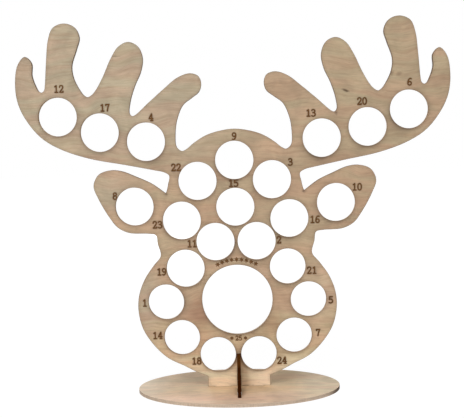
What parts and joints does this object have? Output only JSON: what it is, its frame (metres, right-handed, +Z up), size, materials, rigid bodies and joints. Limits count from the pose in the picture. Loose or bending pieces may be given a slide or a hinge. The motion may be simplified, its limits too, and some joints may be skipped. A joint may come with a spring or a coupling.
{
  "type": "advent calendar stand",
  "caption": "Flat-packed plywood advent calendar: an upright reindeer head with round holes for chocolates, slotted over a cross brace into an oval base.",
  "frame": {"origin": "middle of the base's underside, which rests on the table", "axes": "+Z up, +X to the right seen from the front, +Y to the back; the front of the head faces -Y"},
  "size_m": [0.3744, 0.095, 0.3235],
  "materials": {
    "base_plywood": "bare plywood, laser-cut edge",
    "brace_plywood": "bare plywood, dark laser-burnt edge",
    "head_plywood": "bare plywood, laser-burnt edges and engraved numbers"
  },
  "bodies": {
    "base": {"oval_base": "base_plywood"},
    "brace": {"cross_brace": "brace_plywood"},
    "head": {"head_panel": "head_plywood"}
  },
  "joints": [
    {"name": "brace_lift", "type": "slide", "parent": "base", "child": "brace", "axis": [0, 0, 1], "range_m": [0, 0.02]},
    {"name": "head_lift", "type": "slide", "parent": "brace", "child": "head", "axis": [0, 0, 1], "range_m": [0, 0.045]}
  ]
}
